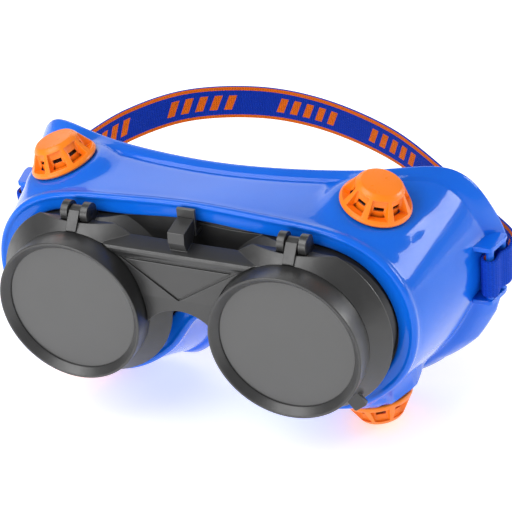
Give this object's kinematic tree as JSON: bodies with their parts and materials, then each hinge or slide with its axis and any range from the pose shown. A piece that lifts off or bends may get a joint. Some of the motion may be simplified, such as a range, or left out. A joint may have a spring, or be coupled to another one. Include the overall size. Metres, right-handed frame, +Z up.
{
  "type": "welding goggles",
  "caption": "Soft cup welding goggles with a flip-up frame of round dark lenses over clear lenses, round vent caps and an elastic head strap.",
  "frame": {"origin": "the mid-plane at the height of the lens axes, in the plane that the sides of the face seal reach", "axes": "+X to the wearer's left, -Y forward out of the lenses, +Y towards the face, +Z up"},
  "size_m": [0.1942, 0.1604, 0.0973],
  "materials": {
    "soft_blue": "glossy soft PVC",
    "black_plastic": "satin moulded plastic",
    "orange_plastic": "semi-gloss moulded plastic",
    "dark_glass": "polished dark filter glass",
    "clear_glass": "polished clear glass",
    "gasket_rubber": "matt",
    "steel": "plain ground pin",
    "woven_elastic": "woven elastic webbing"
  },
  "bodies": {
    "goggles": {"goggle_body": "soft_blue", "lens_plate": "black_plastic", "detent_leaf": "black_plastic", "head_strap": "woven_elastic", "clear_lens_left": "clear_glass", "clear_lens_gasket_left": "gasket_rubber", "clear_lens_retainer_left": "black_plastic", "hinge_pin_left": "steel", "vent_cap_top_left": "orange_plastic", "vent_seat_top_left": "black_plastic", "vent_cap_bottom_left": "orange_plastic", "vent_seat_bottom_left": "black_plastic", "clear_lens_right": "clear_glass", "clear_lens_gasket_right": "gasket_rubber", "clear_lens_retainer_right": "black_plastic", "hinge_pin_right": "steel", "vent_cap_top_right": "orange_plastic", "vent_seat_top_right": "black_plastic", "vent_cap_bottom_right": "orange_plastic", "vent_seat_bottom_right": "black_plastic"},
    "flip": {"flip_frame": "black_plastic"},
    "ring_left": {"lens_ring_left": "black_plastic", "dark_lens_left": "dark_glass", "dark_lens_gasket_left": "gasket_rubber"},
    "ring_right": {"lens_ring_right": "black_plastic", "dark_lens_right": "dark_glass", "dark_lens_gasket_right": "gasket_rubber"}
  },
  "joints": [
    {"name": "flip_hinge", "type": "hinge", "parent": "goggles", "child": "flip", "pos_m": [0, -0.0635, 0.0315], "axis": [-1, 0, 0], "range_deg": [0, 100], "deforming": ["detent_leaf"]},
    {"name": "lens_ring_left_turn", "type": "hinge", "parent": "flip", "child": "ring_left", "pos_m": [0.04, -0.078, 0], "axis": [0, -1, 0], "range_deg": [0, 540]},
    {"name": "lens_ring_right_turn", "type": "hinge", "parent": "flip", "child": "ring_right", "pos_m": [-0.04, -0.078, 0], "axis": [0, -1, 0], "range_deg": [0, 540]}
  ]
}
